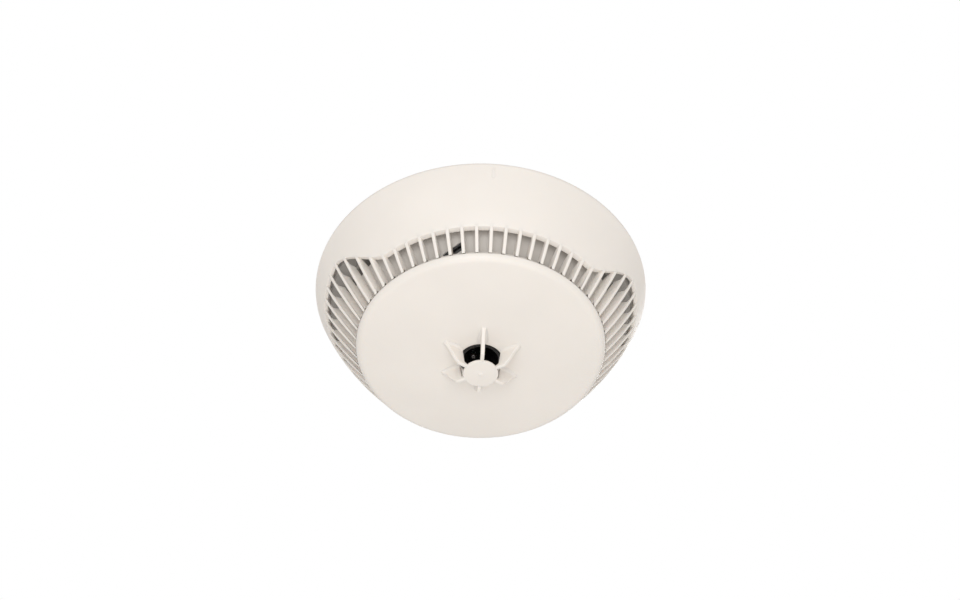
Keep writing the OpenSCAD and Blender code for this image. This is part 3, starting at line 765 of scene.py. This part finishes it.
# Radius of the rounding given to the sharp edges of the mouldings that stay as they are.
EDGE_ROUND = {
    "mounting_base": 0.3 * MM,
    "cable_grommet": 0.3 * MM,
    "terminal_block": 0.25 * MM,
    "inner_chassis": 0.25 * MM,
    "rear_housing": 0.25 * MM,
    "circuit_board": 0.08 * MM,
    "sensor_well": 0.2 * MM,
    "sounder_housing": 0.2 * MM,
    "film_capacitor": 0.6 * MM,
    "control_chip": 0.1 * MM,
    "switch_body": 0.2 * MM,
    "varistor": 0.9 * MM,
    "backup_cells": 0.25 * MM,
}


def dress_cad_parts(replaced):
    """Gives every node that stays its material and, where it has one, its rounding."""
    for name, obj in frame["nodes"].items():
        if name in replaced:
            continue
        obj.data.materials.clear()
        obj.data.materials.append(MATERIALS[SLOT_OF[name]])
        if name in EDGE_ROUND:
            soften(obj, EDGE_ROUND[name])


# ---------------------------------------------------------------------------
# Camera, light and floor
# ---------------------------------------------------------------------------
def direction(turn_deg, rise_deg):
    """Unit vector from the detector towards a viewer at an azimuth and an elevation."""
    turn, rise = math.radians(turn_deg), math.radians(rise_deg)
    return Vector((
        math.sin(turn) * math.cos(rise),
        -math.cos(turn) * math.cos(rise),
        math.sin(rise),
    ))


def build_camera():
    data = bpy.data.cameras.new("camera")
    data.lens = CAMERA_LENS_MM
    data.sensor_width = 36.0
    data.clip_start, data.clip_end = 0.01, 50
    camera = bpy.data.objects.new("camera", data)
    bpy.context.scene.collection.objects.link(camera)
    back = direction(CAMERA_TURN_DEG, CAMERA_RISE_DEG)
    camera.location = CAMERA_AIM + back * CAMERA_DISTANCE
    camera.rotation_mode = "QUATERNION"
    camera.rotation_quaternion = (-back).to_track_quat("-Z", "Y")
    bpy.context.scene.camera = camera


def area_light(name, turn_deg, rise_deg, distance, size, power, colour=(1, 1, 1)):
    """A soft light that looks at the detector from an azimuth, an elevation and a distance."""
    data = bpy.data.lights.new(name, "AREA")
    data.shape = "RECTANGLE"
    data.size, data.size_y = size
    data.energy = power
    data.color = colour
    lamp = bpy.data.objects.new(name, data)
    bpy.context.scene.collection.objects.link(lamp)
    back = direction(turn_deg, rise_deg)
    lamp.location = Vector((0, 0, -0.02)) + back * distance
    lamp.rotation_mode = "QUATERNION"
    lamp.rotation_quaternion = (-back).to_track_quat("-Z", "Y")


def build_world(light_strength):
    """White surroundings: full white as seen by the camera, softer as a light."""
    world = bpy.data.worlds.new("studio")
    world.use_nodes = True
    nodes, links = world.node_tree.nodes, world.node_tree.links
    soft = nodes["Background"]
    soft.inputs["Color"].default_value = (1, 0.99, 0.98, 1)
    soft.inputs["Strength"].default_value = light_strength
    seen = nodes.new("ShaderNodeBackground")
    seen.inputs["Color"].default_value = (1, 1, 1, 1)
    seen.inputs["Strength"].default_value = 1.0
    path = nodes.new("ShaderNodeLightPath")
    mix = nodes.new("ShaderNodeMixShader")
    links.new(path.outputs["Is Camera Ray"], mix.inputs[0])
    links.new(soft.outputs[0], mix.inputs[1])
    links.new(seen.outputs[0], mix.inputs[2])
    links.new(mix.outputs[0], nodes["World Output"].inputs["Surface"])
    bpy.context.scene.world = world


def build_floor():
    """A wide pale plane below the lights."""
    half, level = 40.0, -0.75
    mesh = bpy.data.meshes.new("floor")
    mesh.from_pydata(
        [(-half, -half, level), (half, -half, level), (half, half, level), (-half, half, level)],
        [],
        [(0, 1, 2, 3)],
    )
    mesh.materials.append(moulded_plastic("floor_paint", (0.92, 0.915, 0.905), rough=0.8, grain=0.05 * MM))
    floor = bpy.data.objects.new("floor", mesh)
    bpy.context.scene.collection.objects.link(floor)


def build_stage():
    build_camera()
    build_world(0.71)
    area_light("key", -8, -24, 1.1, (0.7, 0.5), 2.7, (0.94, 0.97, 1.0))
    area_light("fill", 2, -55, 0.62, (0.5, 0.5), 0.7, (1.0, 0.975, 0.95))
    area_light("top", 160, 55, 1.2, (0.9, 0.9), 7.0)
    build_floor()
    bpy.context.scene.view_settings.view_transform = "Standard"


build_outer_cover()
build_front_disc()
build_return_springs()
dress_cad_parts({"outer_cover", "test_button", "return_springs"})
build_stage()
